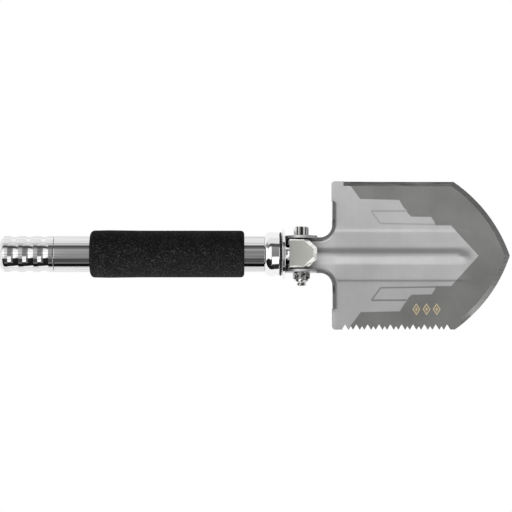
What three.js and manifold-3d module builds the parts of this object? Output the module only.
// A folding take-apart shovel: a dished blade on a pivot block that screws into a hollow handle.
// Millimetres. +X runs from the tail cap to the blade's tip, +Y is across the blade, +Z is out of
// its front face. Every part is drawn about the pivot axis, which crosses the handle's axis at 0, 0, 0.
import * as THREE from "three";
import { mergeVertices } from "three/addons/utils/BufferGeometryUtils.js";
import Module from "manifold-3d";

// The clearance between pieces that touch.
const GAP = 0.3;
const ROUND_SIDES = 32;
const SMALL_SIDES = 24;
const EDGE_CHAMFER = 0.5;

// Handle
const TUBE_R = 16;
const TUBE_BORE_R = 13.5;
const TUBE_FRONT_X = -32.5;
const TUBE_REAR_X = -216.5;
const GRIP_R = 20.6;
const GRIP_CORNER_R = 3.6;
const GRIP_FRONT_X = -50.2;
const GRIP_REAR_X = -185.1;

// Tail cap
const CAP_REAR_X = -263.8;
// The cap's rounded end: distance from its rear face, radius.
const CAP_END = [[0, 9.5], [1, 13.4], [2.4, 15.3], [4, TUBE_R]];
const CAP_SCALLOP_DEPTH = 0.9;
const CAP_SCALLOP_WIDTH = 9.4;
const CAP_SCALLOP_PITCH = 13;
const CAP_SCALLOP_FIRST_X = -256.3;
const CAP_SCALLOPS = 3;
const CAP_BORE_R = 9.5;
const CAP_BORE_REAR_X = -257;
const CAP_THREAD_R = 11.3;
const CAP_THREAD_LENGTH = 12;
const TAIL_INSERT_LENGTH = 12;
const TAIL_SEAL_LENGTH = 1.5;

// Front collar and the stud inside it
const COLLAR_R = 19.7;
const COLLAR_REAR_X = -32.2;
const COLLAR_FRONT_X = -19.5;
// The collar's domed back: distance from its rear face, radius.
const COLLAR_DOME = [[0, TUBE_R + GAP], [1, 17.6], [2.9, 18.9], [6, COLLAR_R]];
const SPIGOT_R = 13.2;
const SPIGOT_REAR_X = -61;
const COLLAR_INSERT_R = 11;
const COLLAR_INSERT_FRONT_X = -28.3;
const COLLAR_INSERT_REAR_X = -44.2;
const SEAL_GROOVE_X = -38;
const SEAL_GROOVE_WIDTH = 3;
const SEAL_R = 0.9;
const CROSS_PIN_X = -57;
const CROSS_PIN_R = 1.5;
const STUD_R = 8.8;
const THREAD_R = 7.9;
const THREAD_PLAY = 0.4;
const THREAD_LENGTH = 20;
const STUD_END_R = 5;
const HEAD_TRAVEL = 6;
const STOP_RING_WIDTH = 2;
const STOP_RING_R = 9.8;

// Rings between the collar and the ears
const RUBBER_FRONT_X = -17.4;
const RUBBER_REAR_X = -19.2;
const RUBBER_R = 19.4;
const WASHER_FRONT_X = -14.6;
const WASHER_REAR_X = -17.1;
const WASHER_R = 22;
const RING_BORE_R = 9.2;

// Pivot block
const BLOCK_REAR_X = -10.9;
const BLOCK_FRONT_X = 13.4;
const BLOCK_HALF = 12.4;
const BLOCK_HALF_HEIGHT = 13.8;
const BLOCK_CORNER_REACH = 12.8;
const BLOCK_BEVEL = 3.5;
const BUSH_R = 6;

// Pivot bolt, washers and nut, on the Y axis
const BOLT_R = 4;
const BOLT_HOLE_R = 4.3;
const BOLT_HEAD_R = 6.5;
const BOLT_HEAD_HEIGHT = 8;
const BOLT_TIP_Y = -28;
const HEX_KEY_R = 3.46;
const HEX_KEY_DEPTH = 4;
const NUT_R = 7.5;
const NUT_HEIGHT = 6.2;
const NUT_COLLAR_R = 6.3;
const NUT_COLLAR_HEIGHT = 2.2;
const NUT_POCKET_R = 5.5;
const FRICTION_R = 9;

// Blade
const SHEET = 2.3;
const EAR_OUTER_Y = 15.9;
const EAR_INNER_Y = EAR_OUTER_Y - SHEET;
const EAR_R = 14.2;
const EAR_FLAT = 13.9;
const EAR_FLATS = 5;
const EAR_LEG_X = 13.8;
const NECK_REAR_X = -13.6;
const SHOULDER_X = 28.4;
const NECK_FILLET = 11;
const BLADE_HALF = 66.2;
const CORNER_R = 2.5;
const ARC_CENTRE_X = 64.8;
const ARC_CENTRE_Y = 42.45;
const ARC_R = 131;
const TIP_X = ARC_CENTRE_X + Math.sqrt(ARC_R ** 2 - ARC_CENTRE_Y ** 2);
const SIDE_END_X = ARC_CENTRE_X + Math.sqrt(ARC_R ** 2 - (BLADE_HALF + ARC_CENTRE_Y) ** 2);

// Blade relief: a channel with a central ridge, sunk in a dished plate
const FLOOR_Z = -25.2;
const RIDGE_Z = -23.4;
const RIDGE_HALF = 8;
const FLOOR_HALF = 18;
const CHANNEL_HALF = 24;
const CHANNEL_FADE_X = 141;
const CHANNEL_END_X = 156.3;
const WING_Z = -25.55;
const WING_SLOPE = 0.05;
const WING_CURVE = 0.0006;
const DISH_DEPTH = 2.5;
const DISH_START_X = 31;
// Where the plate's facets meet, besides the channel's own lines.
const DISH_STATIONS_X = [55, 80, 107, 125];
const TIP_STATION_X = 170;
const WING_STATION_Y = 45;

// Saw teeth, edge bevel and foot lips
const SAW_FIRST_X = 39.8;
const SAW_PITCH = 10.17;
const SAW_TEETH = 10;
const DEEP_GULLET = { depth: 4.5, half: 2.9 };
const SMALL_GULLET = { depth: 2.9, half: 1.9 };
const SMALL_OFFSET = 5.1;
const BEVEL_WIDTH = 4.5;
const BEVEL_DROP = 1.7;
const BEVEL_START_X = 38.8;
const LIP_LOW_Z = -17.8;
const LIP_HIGH_Z = -12;
const LIP_RAMP_Y = 32;
const LIP_END_Y = 46.9;

const wasm = await Module();
wasm.setup();

// ---- Helpers ----

function merged(geometry) {
  geometry.deleteAttribute("normal");
  geometry.deleteAttribute("uv");
  return mergeVertices(geometry, 1e-4);
}

function toSolid(geometry) {
  const closed = merged(geometry);
  return new wasm.Manifold(
    new wasm.Mesh({
      numProp: 3,
      vertProperties: closed.attributes.position.array,
      triVerts: new Uint32Array(closed.index.array),
    }),
  );
}

function toGeometry(solid) {
  const mesh = solid.getMesh();
  const geometry = new THREE.BufferGeometry();
  geometry.setAttribute("position", new THREE.BufferAttribute(mesh.vertProperties, 3));
  geometry.setIndex(new THREE.BufferAttribute(mesh.triVerts, 1));
  return geometry;
}

function cut(geometry, ...tools) {
  return toGeometry(tools.reduce((solid, tool) => solid.subtract(toSolid(tool)), toSolid(geometry)));
}

function join(geometry, ...others) {
  return toGeometry(others.reduce((solid, other) => solid.add(toSolid(other)), toSolid(geometry)));
}

function common(geometry, other) {
  return toGeometry(toSolid(geometry).intersect(toSolid(other)));
}

// A solid turned about Y from [y, radius] points, which run along the outside towards +Y.
function turnedY(profile, sides = SMALL_SIDES) {
  const points = profile.map(([along, radius]) => new THREE.Vector2(radius, along));
  return new THREE.LatheGeometry(points, sides);
}

// The same about X.
function turnedX(profile, sides = ROUND_SIDES) {
  return turnedY(profile, sides).rotateZ(-Math.PI / 2);
}

// The closed profile of a plain ring, with small chamfers on its outer edges.
function ringProfile(from, to, inner, outer, chamfer = 0) {
  const corners = [
    [from, inner],
    [from, outer - chamfer],
    [from + chamfer, outer],
    [to - chamfer, outer],
    [to, outer - chamfer],
    [to, inner],
    [from, inner],
  ];
  return corners.filter((corner, i) => i === 0 || corner.some((v, k) => v !== corners[i - 1][k]));
}

function cylinderY(from, to, radius, sides = SMALL_SIDES) {
  return turnedY([[from, 0], [from, radius], [to, radius], [to, 0]], sides);
}

// A box whose corners are moved by place(i, j, k): i and j count along and across, k is 0 or 1.
function shapedBox(along, across, place) {
  const box = new THREE.BoxGeometry(1, 1, 1, along, across, 1);
  const position = box.attributes.position;
  for (let n = 0; n < position.count; n++) {
    const i = Math.round((position.getX(n) + 0.5) * along);
    const j = Math.round((position.getY(n) + 0.5) * across);
    const k = Math.round(position.getZ(n) + 0.5);
    position.setXYZ(n, ...place(i, j, k));
  }
  return box;
}

function extrudedZ(points, from, to) {
  const shape = new THREE.Shape(points.map(([x, y]) => new THREE.Vector2(x, y)));
  const solid = new THREE.ExtrudeGeometry(shape, { depth: to - from, bevelEnabled: false });
  return solid.translate(0, 0, from);
}

// An outline in X and Z, given depth along Y.
function extrudedY(points, from, to) {
  const shape = new THREE.Shape(points.map(([x, z]) => new THREE.Vector2(x, z)));
  const solid = new THREE.ExtrudeGeometry(shape, { depth: to - from, bevelEnabled: false });
  return solid.rotateX(Math.PI / 2).translate(0, to, 0);
}

function arcPoints(centreX, centreY, radius, fromAngle, toAngle, steps) {
  return Array.from({ length: steps + 1 }, (_, i) => {
    const angle = fromAngle + ((toAngle - fromAngle) * i) / steps;
    return [centreX + radius * Math.cos(angle), centreY + radius * Math.sin(angle)];
  });
}

// ---- Handle ----

// A round bar through the tube and the collar's spigot, where the cross pin goes.
function crossBar(halfLength, radius) {
  return cylinderY(-halfLength, halfLength, radius, SMALL_SIDES / 2).translate(CROSS_PIN_X, 0, 0);
}

function handleTube() {
  const tube = turnedX(ringProfile(TUBE_REAR_X, TUBE_FRONT_X, TUBE_BORE_R, TUBE_R, EDGE_CHAMFER));
  return cut(tube, crossBar(GRIP_R, CROSS_PIN_R + GAP));
}

function foamGrip() {
  const cornerX = GRIP_CORNER_R;
  const cornerR = GRIP_R - GRIP_CORNER_R;
  const rear = arcPoints(GRIP_REAR_X + cornerX, cornerR, GRIP_CORNER_R, Math.PI, Math.PI / 2, 3);
  const front = arcPoints(GRIP_FRONT_X - cornerX, cornerR, GRIP_CORNER_R, Math.PI / 2, 0, 3);
  const bore = TUBE_R + GAP;
  return turnedX([[GRIP_REAR_X, bore], ...rear, ...front, [GRIP_FRONT_X, bore], [GRIP_REAR_X, bore]]);
}

function scallopPoints(index) {
  const start = CAP_SCALLOP_FIRST_X + index * CAP_SCALLOP_PITCH;
  const steps = 4;
  return Array.from({ length: steps + 1 }, (_, i) => {
    const part = i / steps;
    return [start + part * CAP_SCALLOP_WIDTH, TUBE_R - CAP_SCALLOP_DEPTH * Math.sin(Math.PI * part)];
  });
}

function tailCap() {
  const shoulderX = TUBE_REAR_X - GAP;
  const scallops = Array.from({ length: CAP_SCALLOPS }, (_, i) => scallopPoints(i)).flat();
  return turnedX([
    [CAP_REAR_X, 0],
    ...CAP_END.map(([along, radius]) => [CAP_REAR_X + along, radius]),
    ...scallops,
    [shoulderX - EDGE_CHAMFER, TUBE_R],
    [shoulderX, TUBE_R - EDGE_CHAMFER],
    [shoulderX, CAP_THREAD_R],
    [shoulderX + CAP_THREAD_LENGTH, CAP_THREAD_R],
    [shoulderX + CAP_THREAD_LENGTH, CAP_BORE_R],
    [CAP_BORE_REAR_X, CAP_BORE_R],
    [CAP_BORE_REAR_X, 0],
  ]);
}

function tailSeal() {
  return turnedX(ringProfile(TUBE_REAR_X, TUBE_REAR_X + TAIL_SEAL_LENGTH, CAP_THREAD_R + GAP, SPIGOT_R));
}

function tailThreadInsert() {
  const from = TUBE_REAR_X + TAIL_SEAL_LENGTH + GAP;
  return turnedX(ringProfile(from, from + TAIL_INSERT_LENGTH, CAP_THREAD_R + GAP, SPIGOT_R));
}

// ---- Front collar ----

function frontCollar() {
  const grooveFloor = SPIGOT_R - 2 * SEAL_R;
  const grooveRear = SEAL_GROOVE_X - SEAL_GROOVE_WIDTH / 2;
  const grooveFront = SEAL_GROOVE_X + SEAL_GROOVE_WIDTH / 2;
  const insertBore = COLLAR_INSERT_R + GAP;
  const insertSeat = COLLAR_INSERT_FRONT_X + GAP;
  const studBore = STUD_R + 2 * GAP;
  const collar = turnedX([
    [SPIGOT_REAR_X, insertBore],
    [SPIGOT_REAR_X, SPIGOT_R],
    [grooveRear, SPIGOT_R],
    [grooveRear, grooveFloor],
    [grooveFront, grooveFloor],
    [grooveFront, SPIGOT_R],
    [COLLAR_REAR_X, SPIGOT_R],
    ...COLLAR_DOME.map(([along, radius]) => [COLLAR_REAR_X + along, radius]),
    [COLLAR_FRONT_X - EDGE_CHAMFER, COLLAR_R],
    [COLLAR_FRONT_X, COLLAR_R - EDGE_CHAMFER],
    [COLLAR_FRONT_X, studBore],
    [insertSeat, studBore],
    [insertSeat, insertBore],
    [SPIGOT_REAR_X, insertBore],
  ]);
  return cut(collar, crossBar(GRIP_R, CROSS_PIN_R + GAP));
}

function collarThreadInsert() {
  const bore = THREAD_R + THREAD_PLAY;
  return turnedX(ringProfile(COLLAR_INSERT_REAR_X, COLLAR_INSERT_FRONT_X, bore, COLLAR_INSERT_R));
}

function collarSealRing() {
  const centre = SPIGOT_R - SEAL_R + GAP / 2;
  const section = arcPoints(SEAL_GROOVE_X, centre, SEAL_R - GAP / 2, Math.PI, -Math.PI, 8);
  return turnedX(section);
}

function collarCrossPin() {
  return crossBar(TUBE_R - GAP, CROSS_PIN_R);
}

function rubberRing() {
  return turnedX(ringProfile(RUBBER_REAR_X, RUBBER_FRONT_X, RING_BORE_R, RUBBER_R));
}

function thrustWasher() {
  return turnedX(ringProfile(WASHER_REAR_X, WASHER_FRONT_X, RING_BORE_R, WASHER_R, EDGE_CHAMFER));
}

// ---- Pivot block and its stud ----

const THREAD_REAR_X = COLLAR_INSERT_FRONT_X - THREAD_LENGTH;

// A square bar whose end is bevelled above and below, turned about Z. It reaches front from the axis.
function bevelledBar(rear, front, halfWidth, angle) {
  const height = BLOCK_HALF_HEIGHT;
  const side = [
    [rear, -height],
    [front - BLOCK_BEVEL, -height],
    [front, -height + BLOCK_BEVEL],
    [front, height - BLOCK_BEVEL],
    [front - BLOCK_BEVEL, height],
    [rear, height],
  ];
  return extrudedY(side, -halfWidth, halfWidth).rotateZ(angle);
}

function pivotBlock() {
  const half = BLOCK_HALF;
  const [left, right] = [1, -1].map((side) => {
    return bevelledBar(-3 * half, BLOCK_CORNER_REACH, 3 * half, (side * Math.PI) / 4);
  });
  const body = common(common(bevelledBar(BLOCK_REAR_X, BLOCK_FRONT_X, half, 0), left), right);
  const stopX = THREAD_REAR_X - STOP_RING_WIDTH - 3 * GAP;
  const stud = turnedX([
    [stopX - 1, 0],
    [stopX - 1, STUD_END_R],
    [THREAD_REAR_X, STUD_END_R],
    [THREAD_REAR_X, THREAD_R],
    [COLLAR_INSERT_FRONT_X, THREAD_R],
    [COLLAR_INSERT_FRONT_X + 2 * GAP, STUD_R],
    [BLOCK_REAR_X + 1, STUD_R],
    [BLOCK_REAR_X + 1, 0],
  ]);
  return cut(join(body, stud), cylinderY(-2 * half, 2 * half, BUSH_R + GAP));
}

// The ring stops the stud at the end of its travel, against the thread insert's rear face.
function studStopRing() {
  const front = COLLAR_INSERT_REAR_X - HEAD_TRAVEL - GAP;
  return turnedX(ringProfile(front - STOP_RING_WIDTH, front, STUD_END_R + GAP, STOP_RING_R));
}

function pivotBush() {
  return turnedY(ringProfile(-BLOCK_HALF, BLOCK_HALF, BOLT_HOLE_R, BUSH_R));
}

function frictionWasher(side) {
  const inner = BLOCK_HALF + GAP;
  const outer = EAR_INNER_Y - GAP;
  const [from, to] = side > 0 ? [inner, outer] : [-outer, -inner];
  return turnedY(ringProfile(from, to, BOLT_HOLE_R, FRICTION_R));
}

// ---- Pivot bolt and lock nut ----

function pivotBolt() {
  const seat = EAR_OUTER_Y + GAP;
  const top = seat + BOLT_HEAD_HEIGHT;
  const bolt = turnedY([
    [BOLT_TIP_Y, 0],
    [BOLT_TIP_Y, BOLT_R - EDGE_CHAMFER],
    [BOLT_TIP_Y + EDGE_CHAMFER, BOLT_R],
    [seat, BOLT_R],
    [seat, BOLT_HEAD_R],
    [top - EDGE_CHAMFER, BOLT_HEAD_R],
    [top, BOLT_HEAD_R - EDGE_CHAMFER],
    [top, 0],
  ]);
  return cut(bolt, cylinderY(top - HEX_KEY_DEPTH, top + 1, HEX_KEY_R, 6));
}

function lockNut() {
  const seat = -EAR_OUTER_Y - GAP;
  const hexEnd = seat - NUT_HEIGHT;
  const end = hexEnd - NUT_COLLAR_HEIGHT;
  const hex = cylinderY(hexEnd, seat, NUT_R, 6);
  const collar = cylinderY(end, hexEnd + 1, NUT_COLLAR_R);
  const bore = cylinderY(end - 1, seat + 1, BOLT_HOLE_R);
  const pocket = cylinderY(end + EDGE_CHAMFER, hexEnd + 1, NUT_POCKET_R);
  return cut(join(hex, collar), bore, pocket);
}

function lockNutInsert() {
  const end = -EAR_OUTER_Y - GAP - NUT_HEIGHT - NUT_COLLAR_HEIGHT + EDGE_CHAMFER;
  const top = -EAR_OUTER_Y - NUT_HEIGHT + 1;
  return turnedY(ringProfile(end + GAP, top - 2 * GAP, BOLT_HOLE_R, NUT_POCKET_R - GAP));
}

// ---- Blade ----

function wingZ(w) {
  return WING_Z + WING_SLOPE * w + WING_CURVE * w * w;
}

// The channel's section: its sloping wall, flat floor and ridge.
function channelZ(w) {
  if (w >= FLOOR_HALF) {
    return THREE.MathUtils.mapLinear(w, FLOOR_HALF, CHANNEL_HALF, FLOOR_Z, wingZ(CHANNEL_HALF));
  }
  return w >= RIDGE_HALF ? FLOOR_Z : THREE.MathUtils.mapLinear(w, 0, RIDGE_HALF, RIDGE_Z, FLOOR_Z);
}

function frontZ(x, y) {
  const w = Math.abs(y);
  const dished = THREE.MathUtils.clamp((x - DISH_START_X) / (TIP_X - DISH_START_X), 0, 1);
  const fade = 1 - THREE.MathUtils.smoothstep(x, CHANNEL_FADE_X, CHANNEL_END_X);
  const section = w < CHANNEL_HALF ? THREE.MathUtils.lerp(wingZ(w), channelZ(w), fade) : wingZ(w);
  return section - DISH_DEPTH * Math.sin(Math.PI * dished);
}

function bladeSheet() {
  const columns = [0, RIDGE_HALF, FLOOR_HALF, CHANNEL_HALF, WING_STATION_Y, BLADE_HALF + 1];
  const across = [...columns.slice(1).reverse().map((w) => -w), ...columns];
  const along = [
    NECK_REAR_X - 1,
    DISH_START_X,
    ...DISH_STATIONS_X,
    CHANNEL_FADE_X,
    CHANNEL_END_X,
    TIP_STATION_X,
    TIP_X + 1,
  ];
  return shapedBox(along.length - 1, across.length - 1, (i, j, k) => {
    const [x, y] = [along[i], across[j]];
    return [x, y, frontZ(x, y) - (k ? 0 : SHEET)];
  });
}

function sawPoints() {
  const points = [];
  for (let tooth = 0; tooth < SAW_TEETH; tooth++) {
    const centre = SAW_FIRST_X + tooth * SAW_PITCH;
    const gullets = [[centre, DEEP_GULLET]];
    if (tooth < SAW_TEETH - 1) gullets.push([centre + SMALL_OFFSET, SMALL_GULLET]);
    for (const [x, { depth, half }] of gullets) {
      points.push([x - half, -BLADE_HALF], [x, depth - BLADE_HALF], [x + half, -BLADE_HALF]);
    }
  }
  return points;
}

// Half of the outline without the saw, from the neck's rear to the tip, at +Y.
function halfOutline() {
  const filletY = EAR_OUTER_Y + NECK_FILLET;
  const fillet = arcPoints(SHOULDER_X - NECK_FILLET, filletY, NECK_FILLET, -Math.PI / 2, 0, 5);
  const cornerY = BLADE_HALF - CORNER_R;
  const corner = arcPoints(SHOULDER_X + CORNER_R, cornerY, CORNER_R, Math.PI, Math.PI / 2, 3);
  return [[NECK_REAR_X, EAR_OUTER_Y], ...fillet, ...corner, ...tipArc(8)];
}

// The blade's curved edge at +Y, from the end of its straight side to the tip.
function tipArc(steps) {
  const start = Math.atan2(BLADE_HALF + ARC_CENTRE_Y, SIDE_END_X - ARC_CENTRE_X);
  const end = Math.atan2(ARC_CENTRE_Y, TIP_X - ARC_CENTRE_X);
  return arcPoints(ARC_CENTRE_X, -ARC_CENTRE_Y, ARC_R, start, end, steps);
}

function bladeOutline() {
  const half = halfOutline();
  const mirrored = half.map(([x, y]) => [x, -y]);
  const sawStart = mirrored.findIndex(([x]) => x > SHOULDER_X + CORNER_R + 1);
  const lower = [...mirrored.slice(0, sawStart), ...sawPoints(), ...mirrored.slice(sawStart)];
  return [...lower, ...half.slice(0, -1).reverse()];
}

// What grinding takes off the front along an edge: from each point of the path to the tip.
function bevelTool(path, side) {
  const reach = 1;
  const last = path.length - 1;
  return shapedBox(last, 1, (i, j, k) => {
    const [ax, ay] = path[Math.max(i - 1, 0)];
    const [bx, by] = path[Math.min(i + 1, last)];
    const length = Math.hypot(bx - ax, by - ay);
    const [inX, inY] = [(by - ay) / length, -(bx - ax) / length];
    const past = i === last ? BEVEL_WIDTH : 0;
    const across = (j === 1) === side > 0 ? -reach : BEVEL_WIDTH;
    const x = path[i][0] + inX * across + ((bx - ax) / length) * past;
    const y = path[i][1] + inY * across + ((by - ay) / length) * past;
    const drop = (BEVEL_DROP * (BEVEL_WIDTH - across)) / BEVEL_WIDTH;
    const z = frontZ(x, y) + (k ? SHEET : -drop);
    return [x, side * y, z];
  });
}

function lipTop(x, y) {
  if (x < SHOULDER_X) return LIP_LOW_Z;
  return THREE.MathUtils.mapLinear(
    THREE.MathUtils.clamp(y, EAR_OUTER_Y + NECK_FILLET, LIP_RAMP_Y),
    EAR_OUTER_Y + NECK_FILLET,
    LIP_RAMP_Y,
    LIP_LOW_Z,
    LIP_HIGH_Z,
  );
}

// The turned-up lip along the neck, round the fillet and out along the shoulder.
function footLip(side) {
  const filletX = SHOULDER_X - NECK_FILLET;
  const filletY = EAR_OUTER_Y + NECK_FILLET;
  const edges = [NECK_FILLET, NECK_FILLET + SHEET].map((radius) => [
    [EAR_LEG_X, filletY - radius],
    ...arcPoints(filletX, filletY, radius, -Math.PI / 2, 0, 5),
    [filletX + radius, LIP_RAMP_Y],
    [filletX + radius, LIP_END_Y],
  ]);
  return shapedBox(edges[0].length - 1, 1, (i, j, k) => {
    const outside = (j === 1) === side > 0;
    const [x, y] = edges[outside ? 0 : 1][i];
    const top = lipTop(...edges[0][i]);
    return [x, side * y, k ? top : frontZ(x, y) - SHEET + GAP];
  });
}

function ear(side) {
  const turn = Math.PI / (EAR_FLATS - 1);
  const half = Math.acos(EAR_FLAT / EAR_R);
  const disc = [];
  for (let flat = 0; flat < EAR_FLATS; flat++) {
    for (const angle of [flat * turn - half, flat * turn + half]) {
      disc.push([EAR_R * Math.cos(angle), EAR_R * Math.sin(angle)]);
    }
  }
  const foot = FLOOR_Z - SHEET / 2;
  const outline = [
    ...disc,
    [NECK_REAR_X, FLOOR_Z + 1],
    [NECK_REAR_X, foot],
    [EAR_LEG_X + 2, foot],
    [EAR_LEG_X + 2, LIP_LOW_Z],
    [EAR_LEG_X, LIP_LOW_Z],
  ];
  const [from, to] = side > 0 ? [EAR_INNER_Y, EAR_OUTER_Y] : [-EAR_OUTER_Y, -EAR_INNER_Y];
  const plate = extrudedY(outline, from, to);
  return cut(plate, cylinderY(-BLADE_HALF, BLADE_HALF, BOLT_HOLE_R));
}

function blade() {
  const plate = common(bladeSheet(), extrudedZ(bladeOutline(), 2 * FLOOR_Z, 0));
  const side = [0, 0.25, 0.5, 0.75].map((part) => {
    return [THREE.MathUtils.lerp(BEVEL_START_X, SIDE_END_X, part), BLADE_HALF];
  });
  const ground = cut(plate, bevelTool([...side, ...tipArc(6)], 1), bevelTool(tipArc(6), -1));
  return join(ground, ear(1), ear(-1), footLip(1), footLip(-1));
}

// ---- Materials ----

const MIRROR_ALUMINIUM = new THREE.MeshStandardMaterial({ color: 0xd8dadc, roughness: 0.18, metalness: 1 });
const CHROME = new THREE.MeshStandardMaterial({ color: 0xe2e2e2, roughness: 0.08, metalness: 1 });
const SATIN_STEEL = new THREE.MeshStandardMaterial({ color: 0xa9a8a4, roughness: 0.42, metalness: 1 });
const BLADE_STEEL = new THREE.MeshStandardMaterial({ color: 0xa6a6a6, roughness: 0.48, metalness: 1 });
const BRASS = new THREE.MeshStandardMaterial({ color: 0xb9975b, roughness: 0.35, metalness: 1 });
const FOAM = new THREE.MeshStandardMaterial({ color: 0x1c1c1d, roughness: 0.95, metalness: 0 });
const RUBBER = new THREE.MeshStandardMaterial({ color: 0x101011, roughness: 0.7, metalness: 0 });
const NYLON = new THREE.MeshStandardMaterial({ color: 0xe6e3d8, roughness: 0.5, metalness: 0 });

const pieces = [
  ["handle_tube", handleTube(), MIRROR_ALUMINIUM],
  ["foam_grip", foamGrip(), FOAM],
  ["front_collar", frontCollar(), CHROME],
  ["collar_thread_insert", collarThreadInsert(), BRASS],
  ["collar_seal_ring", collarSealRing(), RUBBER],
  ["collar_cross_pin", collarCrossPin(), SATIN_STEEL],
  ["tail_thread_insert", tailThreadInsert(), BRASS],
  ["tail_cap", tailCap(), MIRROR_ALUMINIUM],
  ["tail_seal", tailSeal(), RUBBER],
  ["rubber_ring", rubberRing(), RUBBER],
  ["thrust_washer", thrustWasher(), CHROME],
  ["pivot_block", pivotBlock(), SATIN_STEEL],
  ["stud_stop_ring", studStopRing(), SATIN_STEEL],
  ["pivot_bush", pivotBush(), BRASS],
  ["friction_washer_left", frictionWasher(1), NYLON],
  ["friction_washer_right", frictionWasher(-1), NYLON],
  ["pivot_bolt", pivotBolt(), SATIN_STEEL],
  ["lock_nut", lockNut(), SATIN_STEEL],
  ["lock_nut_insert", lockNutInsert(), NYLON],
  ["blade", blade(), BLADE_STEEL],
];

// The kept frame starts at the middle of the object's base.
const shovel = new THREE.Group();
for (const [name, geometry, material] of pieces) {
  const mesh = new THREE.Mesh(geometry, material);
  mesh.name = name;
  shovel.add(mesh);
}
const bounds = new THREE.Box3().setFromObject(shovel);
shovel.position.set(-(bounds.min.x + bounds.max.x) / 2, 0, -bounds.min.z);
shovel.updateMatrixWorld(true);

const group = new THREE.Group();
group.add(shovel);

export default group;
